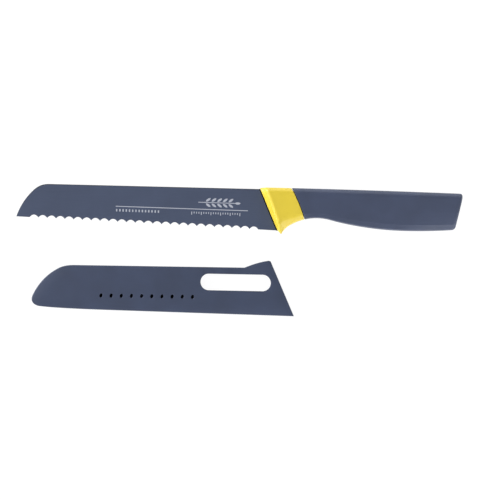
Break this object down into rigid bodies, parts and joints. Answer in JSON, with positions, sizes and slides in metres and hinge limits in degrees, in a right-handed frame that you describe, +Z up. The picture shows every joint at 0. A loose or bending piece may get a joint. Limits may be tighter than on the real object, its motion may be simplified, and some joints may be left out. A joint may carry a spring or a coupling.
{
  "type": "bread knife with blade cover",
  "caption": "Serrated kitchen knife with a coated blade, a yellow finger-guard collar and a moulded handle, with its slotted blade cover lying beside it.",
  "frame": {"origin": "on the table, in the middle of the footprint of the knife and the cover lying beside it", "axes": "+X along the knife from tip to butt, +Y from the blade's edge towards its spine, +Z up, out of the blade's flat side"},
  "size_m": [0.3146, 0.0906, 0.017],
  "materials": {
    "blade_coating": "satin non-stick coating, slate blue",
    "collar_plastic": "satin moulded plastic, yellow",
    "core_plastic": "plain moulded plastic, hidden",
    "grip_plastic": "soft-touch moulded plastic, slate blue",
    "sheath_plastic": "fine matt moulded plastic, slate blue"
  },
  "bodies": {
    "knife": {"blade": "blade_coating", "collar": "collar_plastic", "handle_core": "core_plastic", "handle_grip": "grip_plastic"},
    "sheath": {"sheath_front_shell": "sheath_plastic", "sheath_back_shell": "sheath_plastic"}
  },
  "joints": [
    {"name": "sheath_slide", "type": "slide", "parent": "knife", "child": "sheath", "axis": [-1, 0, 0], "range_m": [0, 0.19]}
  ]
}
